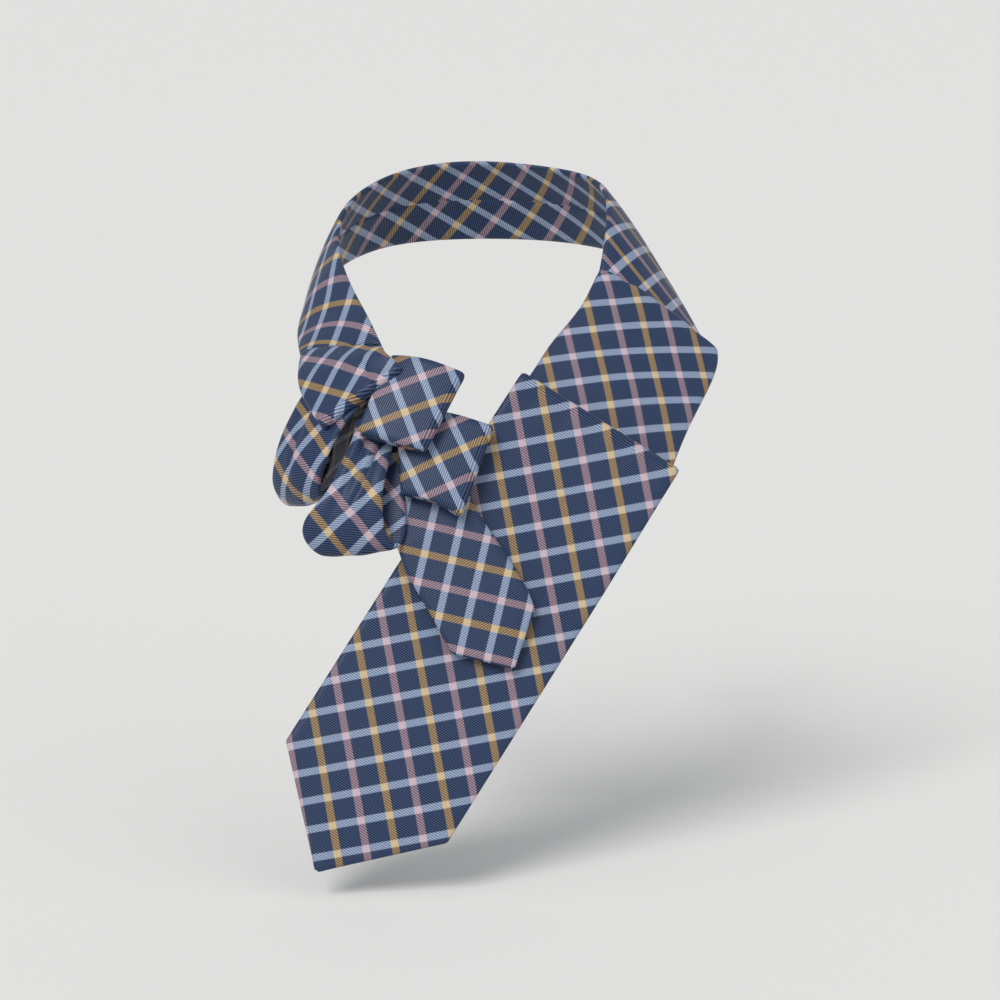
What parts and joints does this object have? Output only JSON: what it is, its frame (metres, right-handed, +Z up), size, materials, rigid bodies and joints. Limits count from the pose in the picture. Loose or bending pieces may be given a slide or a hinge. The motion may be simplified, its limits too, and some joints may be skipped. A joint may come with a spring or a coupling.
{
  "type": "necktie scarf collar",
  "caption": "Asymmetric neck scarf folded from a check silk necktie: a band round the nape, a folded rosette over a pointed tail, and a hanging wide blade.",
  "frame": {"origin": "on the neck's axis, level with the folds at the sides of the neck", "axes": "+Z up along the neck, -Y towards the wearer's front, +X towards the wearer's left shoulder"},
  "size_m": [0.196, 0.2213, 0.2858],
  "materials": {
    "check_silk": "twill silk with a woven check, cut on the bias",
    "interlining": "brushed wool wadding",
    "lining": "plain dark satin",
    "thread": "twisted sewing thread",
    "felt": "pressed wool felt",
    "magnet": "plain nickel-plated disc"
  },
  "bodies": {
    "collar": {"nape_band": "check_silk", "nape_band_interlining": "interlining", "shoulder_fold": "check_silk", "shoulder_fold_interlining": "interlining", "blade_head": "check_silk", "blade_head_interlining": "interlining", "keeper_loop": "check_silk", "magnet_blade": "magnet"},
    "blade_end": {"wide_blade": "check_silk", "wide_blade_interlining": "interlining", "wide_blade_lining": "lining", "wide_blade_bar_tack": "thread"},
    "rosette_side": {"left_fold": "check_silk", "left_fold_interlining": "interlining", "left_wrap": "check_silk", "left_wrap_interlining": "interlining", "petal_lower": "check_silk", "petal_lower_interlining": "interlining", "loop_bottom": "check_silk", "loop_bottom_interlining": "interlining", "loop_left": "check_silk", "loop_left_interlining": "interlining", "tail_root": "check_silk", "tail_root_interlining": "interlining", "magnet_rosette": "magnet", "rosette_backing": "felt"},
    "top_petal": {"petal_upper": "check_silk", "petal_upper_interlining": "interlining"},
    "tail_end": {"tail": "check_silk", "tail_interlining": "interlining", "tail_lining": "lining", "tail_bar_tack": "thread"}
  },
  "joints": [
    {"name": "collar_opening", "type": "hinge", "parent": "collar", "child": "rosette_side", "pos_m": [-0.0815, -0.0085, 0], "axis": [0, 0, -1], "range_deg": [0, 75]},
    {"name": "blade_flex", "type": "hinge", "parent": "collar", "child": "blade_end", "pos_m": [0.01303, -0.099, -0.10819], "axis": [0.8462, -0.1531, -0.5104], "range_deg": [0, 30]},
    {"name": "petal_lift", "type": "hinge", "parent": "rosette_side", "child": "top_petal", "pos_m": [-0.0415, -0.09096, -0.0299], "axis": [-0.368, -0.5081, -0.7787], "range_deg": [0, 25]},
    {"name": "tail_lift", "type": "hinge", "parent": "rosette_side", "child": "tail_end", "pos_m": [-0.0129, -0.10248, -0.08884], "axis": [-0.887, -0.1327, -0.4423], "range_deg": [0, 60]}
  ]
}
